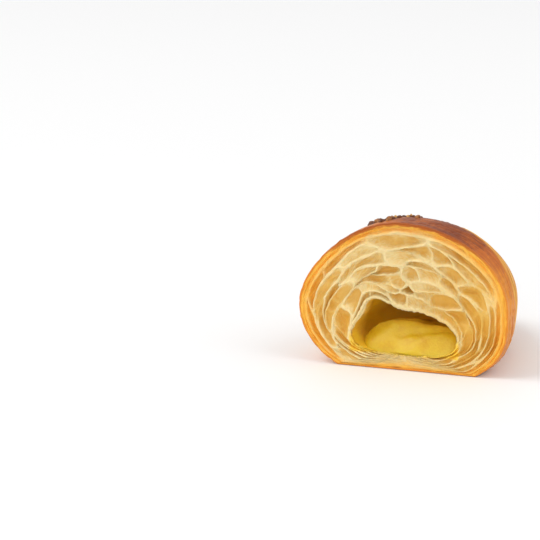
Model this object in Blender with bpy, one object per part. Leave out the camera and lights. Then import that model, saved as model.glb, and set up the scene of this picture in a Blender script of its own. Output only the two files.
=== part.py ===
"""Half of a filled croissant, cut straight across its middle.

Lengths are in metres and angles in radians. +Z is up, the cut face looks along -Y and the
tip points along +Y. The origin is on the surface that the half stands on, under its middle.
"""

import math
import random

import bmesh
import bpy
from mathutils import Matrix, Vector, noise

# The cut's outline: a rounded section with a fuller right shoulder and a flat base
LENGTH = 0.085
CUT_WIDTH = 0.086
CUT_HEIGHT = 0.0593
WIDEST_HEIGHT = 0.0245
BASE_FLAT = 0.0055
UPPER_POWER = 1.87
LOWER_POWER = 2.4
SHOULDER_LEAN = 0.20

# How the roll narrows and leans towards its tip
TAPER_POWER = 1.70
TIP_SHARE = 0.235
TIP_ROUND = 0.012
LEAN = 0.045
UNEVENNESS = 0.022
UNEVEN_SCALE = 38.0

# The roll is fuller at its right shoulder a little way behind the cut
SHOULDER_SWELL = 0.085
SHOULDER_ANGLE = math.radians(48)
SHOULDER_SPREAD = math.radians(38)
SWELL_START = 0.012

# The wraps of dough: each ends in an edge that steps down onto the next one
WRAP_EDGES = (0.024, 0.050, 0.070)
WRAP_STEP = 0.0030
STEP_AT_TIP = 0.50
LAST_WRAP = 0.60
WRAP_RISE = 0.25
CROWN_START = 0.35
EDGE_ROUND = 0.16
SLANT = 0.0065
SLANT_START = 0.022

# The hollow that baking left round the filling, seen on the cut face
HOLLOW_X = 0.0005
HOLLOW_Z = 0.0130
HOLLOW_HALF_WIDTH = 0.0215
HOLLOW_ABOVE = 0.0110
HOLLOW_BELOW = 0.0070
HOLLOW_UPPER_POWER = 1.9
HOLLOW_LOWER_POWER = 3.0
HOLLOW_DEPTH = 0.047
HOLLOW_TAPER = 2.4
PEAK_HEIGHT = 0.0060
PEAK_ANGLE = math.radians(134)
PEAK_SPREAD = math.radians(15)

# The honeycomb between the hollow and the crust
RINGS = 7
CELLS_A_RING = 15
CELL_JITTER = 0.36
CELLS_MISSING = 0.12
MISSING_AT_SIDES = 0.30
CELL_ROUNDNESS = 7
WAVER_ALONG = 0.45
WAVER_ACROSS = 0.55
WAVER_SCALE = 2.0
WAVER_BY_RING = 0.7
CELL_WALL = 0.0009
CRUMB_START = 0.04
CRUMB_END = 0.88
SHALLOWEST_SHARE = 0.40
SMALLEST_POCKET = 0.0012
DEEPEST_POCKET = 0.0060
POCKET_DEPTH_BY_HEIGHT = 1.1
POCKET_WAIST = 0.55
CELL_SEED = 7

# The filling
FILLING_GAP = 0.0006
FILLING_TOP = 0.0165
FILLING_FRONT = 0.0012
FILLING_SLOPE = 0.009
FILLING_FALL = 0.25
FILLING_LENGTH = 0.041
FILLING_LIP = 0.0012
FILLING_BACK = 0.35
FILLING_SHOULDER = 0.6

# The chopped nuts on top
NUT_SIZE = 0.00145
NUT_SIZES = (0.75, 1.2)
NUT_STRETCH = (1.25, 1.0, 0.8)
NUT_SPACING = 0.0026
NUT_SEED = 5
NUT_TRIES = 1700
NUT_SINK = 0.25
NUT_FIRST = 0.003
NUT_LAST = 0.078
NUT_SIDES = (math.radians(40), math.radians(165))
NUT_RIDGE = math.radians(104)
NUT_RIDGE_TURN = math.radians(12)
NUT_SPREAD = math.radians(25)
NUT_SPREAD_AT_CUT = 0.42
CLUMP_FILL = 0.75
CLUMP_CONTRAST = 1.6
CLUMP_ALONG = 130
CLUMP_AROUND = 4.0
BARE_BEFORE_EDGE = 0.0045
BARE_FADE = 0.003

# How finely the solids are faceted
AROUND = 54
WRAP_ROWS = (0.14, 0.34, 0.56, 0.78, 0.92, 0.975, 1.0)
TIP_ROWS = 5
HOLLOW_AROUND = 36
HOLLOW_END_ROWS = (0.94, 0.98)
FILLING_FRONT_ROWS = (0.0, 0.04, 0.15, 0.4, 0.7, 1.0)
FILLING_STEPS = 6
OUTLINE_STEPS = 24
POCKET_SIDES = 10
CUTTER_OVERHANG = 0.002
FULL_TURN = 2 * math.pi
CLOSE = 1e-6


def smooth(share):
    """Ease from 0 to 1 as share goes from 0 to 1."""
    share = min(max(share, 0.0), 1.0)
    return share * share * (3 - 2 * share)


def rounded_reach(angle, half_width, above, below, upper_power, lower_power):
    """Distance from the middle of a rounded section to its outline."""
    across, up = abs(math.cos(angle)), math.sin(angle)
    half_height, power = (above, upper_power) if up >= 0 else (below, lower_power)
    share = (across / half_width) ** power + (abs(up) / half_height) ** power
    return share ** (-1 / power)


def cut_reach(angle):
    """Distance from the middle of the cut face to its outline."""
    lean = SHOULDER_LEAN * math.cos(angle)
    above = CUT_HEIGHT - WIDEST_HEIGHT
    below = WIDEST_HEIGHT + BASE_FLAT
    powers = (UPPER_POWER + lean, LOWER_POWER + lean)
    return rounded_reach(angle, CUT_WIDTH / 2, above, below, *powers)


def narrowing(along):
    """Share of the cut's size that the roll keeps, leaving out its round end."""
    return 1 - (1 - TIP_SHARE) * (along / LENGTH) ** TAPER_POWER


def drift(along):
    """How far the middle of the roll has moved sideways at a distance from the cut."""
    return LEAN * along


def end_rounding(along):
    """Share that closes the roll over its tip."""
    into = max(0.0, along - (LENGTH - TIP_ROUND)) / TIP_ROUND
    return math.sqrt(max(0.0, 1 - into * into))


def wrap_height(along):
    """How far a wrap stands above the crease that the next one comes out of."""
    starts = (-WRAP_EDGES[0], *WRAP_EDGES)
    ends = (*WRAP_EDGES, LENGTH)
    for start, end in zip(starts, ends):
        if along <= end:
            break
    share = (along - start) / (end - start)
    step = WRAP_STEP * (1 - (1 - STEP_AT_TIP) * along / LENGTH)
    if end == LENGTH:
        return step * LAST_WRAP * math.sin(math.pi * share)
    crown = CROWN_START + (1 - CROWN_START) * smooth(share / (1 - EDGE_ROUND))
    rim = math.sqrt(max(0.0, 1 - (max(0.0, share - 1 + EDGE_ROUND) / EDGE_ROUND) ** 2))
    return step * smooth(share / WRAP_RISE) * crown * rim


def skin_point(along, angle):
    """A point of the crust, by its distance from the cut and its angle round the roll."""
    size = narrowing(along)
    closing = end_rounding(along)
    reach = closing * size * cut_reach(angle)
    lump = Vector((math.cos(angle), along * UNEVEN_SCALE, math.sin(angle)))
    reach *= 1 + UNEVENNESS * noise.noise(lump) * smooth(along / SLANT_START)
    turned = (angle - SHOULDER_ANGLE + math.pi) % FULL_TURN - math.pi
    swell = SHOULDER_SWELL * math.exp(-((turned / SHOULDER_SPREAD) ** 2))
    reach *= 1 + swell * smooth(along / SWELL_START)
    reach += closing * (wrap_height(along) - wrap_height(0.0) * size)
    slant = SLANT * smooth(along / SLANT_START) * (1 - smooth(along / LENGTH))
    x = drift(along) + reach * math.cos(angle)
    y = along - slant * math.cos(angle)
    z = WIDEST_HEIGHT * size + reach * math.sin(angle)
    return Vector((x, y, max(z, 0.0)))


def hollow_size(depth):
    """Share of its width at the cut that the hollow keeps at a distance from the cut."""
    return math.sqrt(max(0.0, 1 - (max(depth, 0.0) / HOLLOW_DEPTH) ** HOLLOW_TAPER))


def hollow_point(depth, angle):
    """A point of the hollow's wall."""
    sizes = (HOLLOW_HALF_WIDTH, HOLLOW_ABOVE, HOLLOW_BELOW)
    reach = rounded_reach(angle, *sizes, HOLLOW_UPPER_POWER, HOLLOW_LOWER_POWER)
    turned = (angle % FULL_TURN - PEAK_ANGLE) / PEAK_SPREAD
    reach += PEAK_HEIGHT * math.exp(-turned * turned / 2)
    reach *= hollow_size(depth)
    x = HOLLOW_X + drift(depth) + reach * math.cos(angle)
    z = HOLLOW_Z + reach * math.sin(angle)
    return Vector((x, depth, z))


def face_point(share, angle):
    """A point of the cut face: share 0 is the hollow's edge and 1 the crust's outside."""
    return hollow_point(0.0, angle).lerp(skin_point(0.0, angle), share)


def cell_sites():
    """Middles of the honeycomb's cells, as (place in the ring, ring, share of depth)."""
    draw = random.Random(CELL_SEED)
    sites = []
    for ring in range(RINGS):
        for place in range(CELLS_A_RING):
            turn = place + 0.5 * (ring % 2) + draw.uniform(-CELL_JITTER, CELL_JITTER)
            level = ring + 0.5 + draw.uniform(-CELL_JITTER, CELL_JITTER)
            depth = draw.uniform(SHALLOWEST_SHARE, 1.0)
            beside = math.cos(FULL_TURN * turn / CELLS_A_RING) ** 2
            if draw.random() > CELLS_MISSING + MISSING_AT_SIDES * beside:
                sites.append((turn, level, depth))
    return sites


def cell_outline(middle, others):
    """Points round the cell of middle, in cells: its walls stand halfway to the others."""
    walls = [2 * (other - middle) / (other - middle).length_squared for other in others]
    walls += [Vector((0, -1 / middle.y)), Vector((0, 1 / (RINGS - middle.y)))]
    outline = []
    for angle in angles(OUTLINE_STEPS):
        way = Vector((math.cos(angle), math.sin(angle)))
        total = sum(max(0.0, way.dot(wall)) ** CELL_ROUNDNESS for wall in walls)
        outline.append(middle + way * total ** (-1 / CELL_ROUNDNESS))
    return outline


def wavered(place):
    """A place in the honeycomb after its rings are bent, so that its walls curve."""
    angle = FULL_TURN * place.x / CELLS_A_RING
    share = min(max(place.y / RINGS, 0.0), 1.0)
    fade = 4 * share * (1 - share)
    x, y = WAVER_SCALE * math.cos(angle), WAVER_SCALE * math.sin(angle)
    ring = WAVER_BY_RING * place.y
    along = WAVER_ALONG * fade * noise.noise(Vector((x, y, ring)))
    across = WAVER_ACROSS * fade * noise.noise(Vector((x + 5, y, ring)))
    return place + Vector((along, across))


def face_of_cell(place):
    """The point of the cut face that a place in the honeycomb stands for."""
    bent = wavered(place)
    share = CRUMB_START + (CRUMB_END - CRUMB_START) * bent.y / RINGS
    return face_point(share, FULL_TURN * bent.x / CELLS_A_RING)


def cell_size(outline):
    """A cell's middle, how long it is along its ring, and how tall across it."""
    left, right = min(c.x for c in outline), max(c.x for c in outline)
    low, high = min(c.y for c in outline), max(c.y for c in outline)
    middle = Vector(((left + right) / 2, (low + high) / 2))
    ends = [face_of_cell(Vector((x, middle.y))) for x in (left, right)]
    sides = [face_of_cell(Vector((middle.x, y))) for y in (low, high)]
    return middle, (ends[1] - ends[0]).length, (sides[1] - sides[0]).length


def evenly(outline, count):
    """Points spaced evenly along a closed outline."""
    closed = outline + outline[:1]
    lengths = [(b - a).length for a, b in zip(closed, closed[1:])]
    total = sum(lengths)
    points, index, passed = [], 0, 0.0
    for step in range(count):
        goal = total * step / count
        while passed + lengths[index] < goal:
            passed += lengths[index]
            index += 1
        points.append(closed[index].lerp(closed[index + 1], (goal - passed) / lengths[index]))
    return points


def pocket_outlines():
    """Outline and depth of each cell that is large enough to be a pocket in the solid."""
    sites = cell_sites()
    middles = [Vector(site[:2]) for site in sites]
    turned = [m + Vector((turn, 0)) for m in middles for turn in (-CELLS_A_RING, 0, CELLS_A_RING)]
    pockets = []
    for site, here in zip(sites, middles):
        others = [m for m in turned if (m - here).length > CLOSE]
        outline = cell_outline(here, others)
        middle, length, height = cell_size(outline)
        if min(length, height) < SMALLEST_POCKET + CELL_WALL:
            continue
        keep = Vector((1 - CELL_WALL / length, 1 - CELL_WALL / height))
        drawn_in = [middle + (c - middle) * keep for c in evenly(outline, OUTLINE_STEPS)]
        around = evenly([face_of_cell(corner) for corner in drawn_in], POCKET_SIDES)
        depth = min(DEEPEST_POCKET * site[2], POCKET_DEPTH_BY_HEIGHT * height)
        pockets.append((around[::-1], depth))
    return pockets


def new_object(name, mesh_data, collection):
    """Turn a bmesh into an object of a collection."""
    mesh = bpy.data.meshes.new(name)
    mesh_data.to_mesh(mesh)
    mesh_data.free()
    made = bpy.data.objects.new(name, mesh)
    collection.objects.link(made)
    return made


def loft(mesh_data, rings):
    """Join rings of equally many points into a closed tube, with a face over each end.

    The rings follow each other along +Y, and each runs from +X over +Z.
    """
    loops = [[mesh_data.verts.new(point) for point in ring] for ring in rings]
    for ring, following in zip(loops, loops[1:]):
        turned, turned_on = ring[1:] + ring[:1], following[1:] + following[:1]
        for corners in zip(ring, following, turned_on, turned):
            mesh_data.faces.new(corners)
    mesh_data.faces.new(loops[0])
    mesh_data.faces.new(reversed(loops[-1]))


def angles(count):
    """Angles of count points evenly round the roll."""
    return [FULL_TURN * step / count for step in range(count)]


def body_rows():
    """Distances from the cut at which the crust gets a row of points."""
    rows = [0.0]
    starts = (0.0, *WRAP_EDGES)
    ends = (*WRAP_EDGES, LENGTH)
    for start, end in zip(starts, ends):
        rows += [start + (end - start) * share for share in WRAP_ROWS]
    last = LENGTH - TIP_ROUND
    quarter = math.pi / 2
    tail = [last + TIP_ROUND * math.sin(quarter * t / TIP_ROWS) for t in range(1, TIP_ROWS)]
    return [row for row in rows if row < last] + tail + [LENGTH * 0.9998]


def make_body(collection):
    """The bread as one closed form, before its hollow and its cells are cut out."""
    body = bmesh.new()
    loft(body, [[skin_point(row, angle) for angle in angles(AROUND)] for row in body_rows()])
    return new_object("croissant", body, collection)


def make_hollow_cutter(collection):
    """The form that cuts the hollow round the filling."""
    cutter = bmesh.new()
    ends = [HOLLOW_DEPTH * share for share in HOLLOW_END_ROWS]
    depths = [0.0, *filling_depths(), *ends]
    rings = [[hollow_point(depth, angle) for angle in angles(HOLLOW_AROUND)] for depth in depths]
    mouth = [point - Vector((0, CUTTER_OVERHANG, 0)) for point in rings[0]]
    loft(cutter, [mouth, *rings])
    return new_object("hollow_cutter", cutter, collection)


def make_pocket_cutters(collection):
    """The forms that cut the cells open on the cut face."""
    for number, (outline, depth) in enumerate(pocket_outlines()):
        centre = sum(outline, Vector()) / len(outline)
        shape = ((1.0, -CUTTER_OVERHANG), (1.0, POCKET_WAIST * depth), (POCKET_WAIST, depth))
        rings = [
            [centre + (point - centre) * width + Vector((0, back, 0)) for point in outline]
            for width, back in shape
        ]
        cutter = bmesh.new()
        loft(cutter, rings)
        new_object(f"pocket_cutter_{number:02d}", cutter, collection)


def filling_depths():
    """Distances from the cut at which the filling gets a row of points."""
    front = [FILLING_FRONT + FILLING_SLOPE * share for share in FILLING_FRONT_ROWS]
    rest = (FILLING_LENGTH - front[-1]) / FILLING_STEPS
    return front + [front[-1] + rest * (step + 1) for step in range(FILLING_STEPS)]


def filling_point(depth, angle):
    """A point of the filling: its own mound above, and the hollow's floor below."""
    full_width = HOLLOW_HALF_WIDTH * hollow_size(depth) - FILLING_GAP
    below = HOLLOW_BELOW * hollow_size(depth) - FILLING_GAP
    floor = HOLLOW_Z - below
    front = math.sqrt(smooth((depth - FILLING_FRONT) / FILLING_SLOPE))
    back = FILLING_BACK + (1 - FILLING_BACK) * smooth((FILLING_LENGTH - depth) / FILLING_SLOPE)
    crest = FILLING_TOP - FILLING_FALL * max(0.0, depth - FILLING_FRONT - FILLING_SLOPE)
    top = floor + FILLING_LIP + (crest - floor) * front * back
    side = min(HOLLOW_Z, floor + FILLING_SHOULDER * (top - floor))
    power = HOLLOW_LOWER_POWER
    half_width = full_width * (1 - ((HOLLOW_Z - side) / below) ** power) ** (1 / power)
    across = half_width * math.cos(angle)
    if math.sin(angle) >= 0:
        z = side + (top - side) * math.sin(angle)
    else:
        z = HOLLOW_Z - below * (1 - abs(across / full_width) ** power) ** (1 / power)
    return Vector((HOLLOW_X + drift(depth) + across, depth, z))


def make_filling(collection):
    """The pistachio cream that lies in the hollow and runs back through the bread."""
    filling = bmesh.new()
    rings = [
        [filling_point(depth, angle) for angle in angles(HOLLOW_AROUND)]
        for depth in filling_depths()
    ]
    loft(filling, rings)
    return new_object("pistachio_filling", filling, collection)


def nut_density(along, angle):
    """How likely a nut is to lie at a place of the crust, from 0 to 1."""
    ridge = NUT_RIDGE - NUT_RIDGE_TURN * smooth(along / LENGTH)
    widening = NUT_SPREAD_AT_CUT + (1 - NUT_SPREAD_AT_CUT) * smooth(along / WRAP_EDGES[1])
    top = math.exp(-(((angle - ridge) / (NUT_SPREAD * widening)) ** 2))
    lump = Vector((along * CLUMP_ALONG, angle * CLUMP_AROUND, 0.0))
    clump = smooth(CLUMP_FILL + CLUMP_CONTRAST * noise.noise(lump))
    bare = 1.0
    if along < WRAP_EDGES[-1]:
        to_edge = min(edge - along for edge in WRAP_EDGES if edge > along)
        bare = smooth((to_edge - BARE_BEFORE_EDGE) / BARE_FADE)
    ends = smooth((along - NUT_FIRST) / BARE_FADE) * smooth((NUT_LAST - along) / BARE_FADE)
    return top * clump * bare * ends


def nut_places():
    """Where each nut lies: its middle, the way out of the crust, its size and its turns."""
    draw = random.Random(NUT_SEED)
    placed = []
    for _ in range(NUT_TRIES):
        along = draw.uniform(NUT_FIRST, NUT_LAST)
        angle = draw.uniform(*NUT_SIDES)
        chance = draw.random()
        size = NUT_SIZE * draw.uniform(*NUT_SIZES)
        turns = [draw.uniform(0, FULL_TURN) for _ in range(2)]
        here = skin_point(along, angle)
        if chance > nut_density(along, angle):
            continue
        if any((here - other[0]).length < NUT_SPACING for other in placed):
            continue
        beside = skin_point(along + 0.001, angle) - here
        around = skin_point(along, angle + 0.03) - here
        placed.append((here, around.cross(beside).normalized(), size, turns))
    return placed


def make_nuts(collection):
    """The chopped nuts, each a small block with unequal sides."""
    for number, (here, outward, size, turns) in enumerate(nut_places()):
        nut = bmesh.new()
        bmesh.ops.create_icosphere(nut, subdivisions=1, radius=size)
        stretch = Matrix.Diagonal((*NUT_STRETCH, 1.0))
        turn = Matrix.Rotation(turns[0], 4, "X") @ Matrix.Rotation(turns[1], 4, "Y")
        place = Matrix.Translation(here + outward * size * NUT_SINK)
        bmesh.ops.transform(nut, matrix=place @ turn @ stretch, verts=nut.verts)
        new_object(f"nut_{number:03d}", nut, collection)


def material(name, colour, roughness):
    """A plain Principled material."""
    made = bpy.data.materials.new(name)
    made.use_nodes = True
    shader = made.node_tree.nodes["Principled BSDF"]
    shader.inputs["Base Color"].default_value = (*colour, 1.0)
    shader.inputs["Roughness"].default_value = roughness
    shader.inputs["Metallic"].default_value = 0.0
    return made


def add_boolean(target, operation, collection, solver="EXACT"):
    """Join a collection to an object, or cut it out of the object, and apply it."""
    step = target.modifiers.new(operation.lower(), "BOOLEAN")
    step.operation = operation
    step.operand_type = "COLLECTION"
    step.collection = collection
    step.solver = solver
    with bpy.context.temp_override(object=target, active_object=target):
        bpy.ops.object.modifier_apply(modifier=step.name)


def new_collection(name):
    """A collection of the scene."""
    made = bpy.data.collections.new(name)
    bpy.context.scene.collection.children.link(made)
    return made


def remove_collection(collection):
    """Remove a collection and the objects in it."""
    for extra in list(collection.objects):
        bpy.data.objects.remove(extra, do_unlink=True)
    bpy.data.collections.remove(collection)


def centre_on_origin(objects, body):
    """Move the model so that the origin is under the middle of the bread's box."""
    points = [vertex.co for vertex in body.data.vertices]
    x = (min(p.x for p in points) + max(p.x for p in points)) / 2
    y = (min(p.y for p in points) + max(p.y for p in points)) / 2
    for item in objects:
        item.data.transform(Matrix.Translation((-x, -y, 0)))


def main():
    """Build the half: the bread with its hollow, cells and nuts, and the filling."""
    for leftover in list(bpy.data.objects):
        bpy.data.objects.remove(leftover, do_unlink=True)
    parts = new_collection("filled_croissant_half")
    cutters = new_collection("cutters")
    nuts = new_collection("nuts")

    bread = make_body(parts)
    make_hollow_cutter(cutters)
    make_pocket_cutters(cutters)
    add_boolean(bread, "DIFFERENCE", cutters)
    make_nuts(nuts)
    add_boolean(bread, "UNION", nuts, "MANIFOLD")
    remove_collection(cutters)
    remove_collection(nuts)

    filling = make_filling(parts)
    centre_on_origin([bread, filling], bread)
    bread.data.materials.clear()
    bread.data.materials.append(material("baked_dough", (0.72, 0.36, 0.10), 0.45))
    filling.data.materials.append(material("pistachio_cream", (0.74, 0.62, 0.16), 0.35))


main()
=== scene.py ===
"""Half of a pistachio-filled croissant on a pale floor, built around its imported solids."""

import logging
import math
import random
from dataclasses import dataclass
from enum import Enum
from typing import Any, Iterator

import bpy
import numpy as np
from mathutils import Matrix, Vector, noise


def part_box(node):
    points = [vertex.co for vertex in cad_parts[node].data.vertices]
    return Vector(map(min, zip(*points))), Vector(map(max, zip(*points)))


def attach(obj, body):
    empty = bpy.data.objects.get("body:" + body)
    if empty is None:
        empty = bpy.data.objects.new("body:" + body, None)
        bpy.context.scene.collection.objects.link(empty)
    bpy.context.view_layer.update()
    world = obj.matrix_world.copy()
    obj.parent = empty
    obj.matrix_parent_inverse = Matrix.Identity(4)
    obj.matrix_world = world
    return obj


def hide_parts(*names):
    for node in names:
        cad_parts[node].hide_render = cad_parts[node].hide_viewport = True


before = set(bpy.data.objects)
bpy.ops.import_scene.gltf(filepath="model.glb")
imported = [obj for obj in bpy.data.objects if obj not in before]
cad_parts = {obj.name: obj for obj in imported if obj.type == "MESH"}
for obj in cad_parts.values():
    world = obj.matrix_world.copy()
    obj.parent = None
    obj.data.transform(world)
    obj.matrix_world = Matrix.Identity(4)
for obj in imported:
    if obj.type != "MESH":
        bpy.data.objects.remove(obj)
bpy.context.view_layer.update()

BODY = "root"
FULL_TURN = 2 * math.pi
SAME_PLACE = 1e-6
TINY = 1e-9
Colour = tuple[float, float, float]
log = logging.getLogger("croissant")


class Slot(Enum):
    """Finishes that the record names."""

    CRUST = "baked_crust"
    CREAM = "pistachio_cream"
    CRUMB = "crumb"
    NUTS = "chopped_nuts"


def ease(share: Any) -> Any:
    """Ease from 0 to 1 as share goes from 0 to 1.

    Args:
        share: A number or an array.

    Returns:
        The eased number or array.
    """
    share = np.clip(share, 0.0, 1.0)
    return share * share * (3 - 2 * share)


def lumps(x: Any, y: Any, z: Any) -> np.ndarray:
    """Smooth noise between about -1 and 1 at each point of an array.

    Args:
        x, y, z: Coordinates, already scaled so that a lump is about one unit long.

    Returns:
        One value for each point.
    """
    x, y, z = np.broadcast_arrays(x, y, z)
    points = np.stack((x.ravel(), y.ravel(), z.ravel()), axis=1)
    values = np.fromiter((noise.noise(p) for p in points.tolist()), float, len(points))
    return values.reshape(x.shape)


def bell(offset: Any) -> Any:
    """Fall from 1 in the middle to almost 0 at twice the spread that offset is counted in."""
    return np.exp(-(offset**2))


def creases(field: np.ndarray, width: float) -> np.ndarray:
    """Thin lines where a noise field crosses 0, from 0 beside them to 1 on them."""
    return np.maximum(0.0, 1 - np.abs(field) / width)


def rounded_reach(
    angle: np.ndarray,
    half_width: float,
    above: float,
    below: float,
    upper_power: Any,
    lower_power: Any,
) -> np.ndarray:
    """Distance from the middle of a rounded section to its outline.

    Args:
        angle: Angles from +X towards +Z.
        half_width: Half of the section's width.
        above: Height above its widest level.
        below: Height below its widest level.
        upper_power: How square the upper half is.
        lower_power: How square the lower half is.

    Returns:
        One distance for each angle.
    """
    across, up = np.abs(np.cos(angle)), np.sin(angle)
    height = np.where(up >= 0, above, below)
    power = np.where(up >= 0, upper_power, lower_power)
    share = (across / half_width) ** power + (np.abs(up) / height) ** power
    return share ** (-1 / power)


@dataclass(frozen=True)
class Roll:
    """The half's main form, with the sizes that its solid was made from."""

    length: float = 0.085
    cut_width: float = 0.086
    cut_height: float = 0.0593
    widest_height: float = 0.0245
    base_flat: float = 0.0055
    upper_power: float = 1.87
    lower_power: float = 2.4
    shoulder_lean: float = 0.20
    taper_power: float = 1.70
    tip_share: float = 0.235
    tip_round: float = 0.012
    lean: float = 0.045
    unevenness: float = 0.022
    uneven_scale: float = 38.0
    shoulder_swell: float = 0.085
    shoulder_angle: float = math.radians(48)
    shoulder_spread: float = math.radians(38)
    swell_start: float = 0.012
    wrap_edges: tuple[float, ...] = (0.024, 0.050, 0.070)
    wrap_step: float = 0.0030
    step_at_tip: float = 0.50
    last_wrap: float = 0.60
    wrap_rise: float = 0.25
    crown_start: float = 0.35
    edge_round: float = 0.16
    slant: float = 0.0065
    slant_start: float = 0.022

    def cut_reach(self, angle: np.ndarray) -> np.ndarray:
        """Distance from the middle of the cut face to its outline."""
        lean = self.shoulder_lean * np.cos(angle)
        above = self.cut_height - self.widest_height
        below = self.widest_height + self.base_flat
        powers = (self.upper_power + lean, self.lower_power + lean)
        return rounded_reach(angle, self.cut_width / 2, above, below, *powers)

    def narrowing(self, along: np.ndarray) -> np.ndarray:
        """Share of the cut's size that the roll keeps at a distance from the cut."""
        return 1 - (1 - self.tip_share) * (along / self.length) ** self.taper_power

    def drift(self, along: Any) -> Any:
        """How far the middle of the roll has moved sideways."""
        return self.lean * along

    def closing(self, along: np.ndarray) -> np.ndarray:
        """Share that closes the roll over its tip."""
        into = np.maximum(0.0, along - (self.length - self.tip_round)) / self.tip_round
        return np.sqrt(np.maximum(0.0, 1 - into * into))

    def wrap_share(self, along: np.ndarray) -> tuple[np.ndarray, np.ndarray, np.ndarray]:
        """Where a place lies in its wrap.

        Args:
            along: Distances from the cut.

        Returns:
            The wrap's number, the share of its width that lies before the place, and its width.
        """
        starts = np.array((-self.wrap_edges[0], *self.wrap_edges))
        ends = np.array((*self.wrap_edges, self.length))
        number = np.clip(np.searchsorted(ends, along - TINY), 0, len(ends) - 1)
        width = ends[number] - starts[number]
        return number, (along - starts[number]) / width, width

    def wrap_height(self, along: np.ndarray) -> np.ndarray:
        """How far a wrap stands above the crease that the next one comes out of."""
        number, share, _ = self.wrap_share(along)
        step = self.wrap_step * (1 - (1 - self.step_at_tip) * along / self.length)
        crown = ease(share / (1 - self.edge_round))
        crown = self.crown_start + (1 - self.crown_start) * crown
        into_edge = np.maximum(0.0, share - 1 + self.edge_round) / self.edge_round
        rim = np.sqrt(np.maximum(0.0, 1 - into_edge**2))
        height = step * ease(share / self.wrap_rise) * crown * rim
        last = step * self.last_wrap * np.sin(math.pi * np.clip(share, 0.0, 1.0))
        return np.where(number == len(self.wrap_edges), last, height)

    def skin(self, along: np.ndarray, angle: np.ndarray, relief: Any = 0.0) -> np.ndarray:
        """Points of the crust.

        Args:
            along: Distances from the cut.
            angle: Angles round the roll.
            relief: How far each point stands out from the solid's own surface.

        Returns:
            An array of points, one row each.
        """
        size, closing = self.narrowing(along), self.closing(along)
        reach = closing * size * self.cut_reach(angle)
        uneven = lumps(np.cos(angle), along * self.uneven_scale, np.sin(angle))
        reach = reach * (1 + self.unevenness * uneven * ease(along / self.slant_start))
        beside = (angle - self.shoulder_angle + math.pi) % FULL_TURN - math.pi
        swell = self.shoulder_swell * bell(beside / self.shoulder_spread)
        reach = reach * (1 + swell * ease(along / self.swell_start))
        first = self.wrap_height(np.zeros(1))[0]
        reach = reach + closing * (self.wrap_height(along) - first * size)
        reach = reach + relief
        slant = self.slant * ease(along / self.slant_start) * (1 - ease(along / self.length))
        x = self.drift(along) + reach * np.cos(angle)
        y = along - slant * np.cos(angle)
        z = self.widest_height * size + reach * np.sin(angle)
        return np.stack((x, y, np.maximum(z, 0.0)), axis=-1)


@dataclass(frozen=True)
class Hollow:
    """The space that baking left round the filling."""

    x: float = 0.0005
    z: float = 0.0130
    half_width: float = 0.0215
    above: float = 0.0110
    below: float = 0.0070
    upper_power: float = 1.9
    lower_power: float = 3.0
    depth: float = 0.047
    taper: float = 2.4
    peak_height: float = 0.0060
    peak_angle: float = math.radians(134)
    peak_spread: float = math.radians(15)

    def size(self, depth: Any) -> Any:
        """Share of its width at the cut that the hollow keeps at a distance from the cut."""
        return np.sqrt(np.maximum(0.0, 1 - (np.maximum(depth, 0.0) / self.depth) ** self.taper))

    def wall(self, roll: Roll, depth: np.ndarray, angle: np.ndarray, proud: Any = 0.0) -> np.ndarray:
        """Points of the hollow's wall.

        Args:
            roll: The half that the hollow is in.
            depth: Distances from the cut.
            angle: Angles round the hollow.
            proud: How far each point stands outside the solid's own wall.

        Returns:
            An array of points, one row each.
        """
        sizes = (self.half_width, self.above, self.below)
        reach = rounded_reach(angle, *sizes, self.upper_power, self.lower_power)
        beside = (angle % FULL_TURN - self.peak_angle) / self.peak_spread
        reach = (reach + self.peak_height * np.exp(-beside * beside / 2)) * self.size(depth) + proud
        x = self.x + roll.drift(depth) + reach * np.cos(angle)
        z = self.z + reach * np.sin(angle)
        return np.stack(np.broadcast_arrays(x, depth, z), axis=-1)


ROLL = Roll()
HOLLOW = Hollow()
BREAD_LOW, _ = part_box("croissant")
LEFT_EDGE = -ROLL.cut_width / 2
PLACE = Vector((BREAD_LOW.x - LEFT_EDGE, BREAD_LOW.y, BREAD_LOW.z))


class Value:
    """A shader socket that can stand in a Python expression."""

    def __init__(self, recipe: "Recipe", socket: Any) -> None:
        """Wrap a socket of a recipe's tree."""
        self.recipe = recipe
        self.socket = socket

    def _math(self, operation: str, *terms: Any) -> "Value":
        """Add a Math node on numbers or values."""
        return self.recipe.node("ShaderNodeMath", {"operation": operation}, dict(enumerate(terms)))

    def __add__(self, other: Any) -> "Value":
        """Sum."""
        return self._math("ADD", self, other)

    __radd__ = __add__

    def __sub__(self, other: Any) -> "Value":
        """Difference."""
        return self._math("SUBTRACT", self, other)

    def __rsub__(self, other: Any) -> "Value":
        """Difference from a number."""
        return self._math("SUBTRACT", other, self)

    def __mul__(self, other: Any) -> "Value":
        """Product."""
        return self._math("MULTIPLY", self, other)

    __rmul__ = __mul__

    def size(self) -> "Value":
        """The value without its sign."""
        return self._math("ABSOLUTE", self)

    def swing(self, reach: float) -> "Value":
        """How far noise is from its middle, counted so that its whole range is reach."""
        return (self - 0.5) * reach

    def clipped(self) -> "Value":
        """The value held between 0 and 1."""
        return self.recipe.node("ShaderNodeClamp", {}, {"Value": self})

    def between(self, low: float, high: float) -> "Value":
        """Ease from 0 to 1 as the value goes from low to high."""
        settings = {"interpolation_type": "SMOOTHSTEP"}
        links = {"Value": self, "From Min": low, "From Max": high}
        return self.recipe.node("ShaderNodeMapRange", settings, links)


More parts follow.
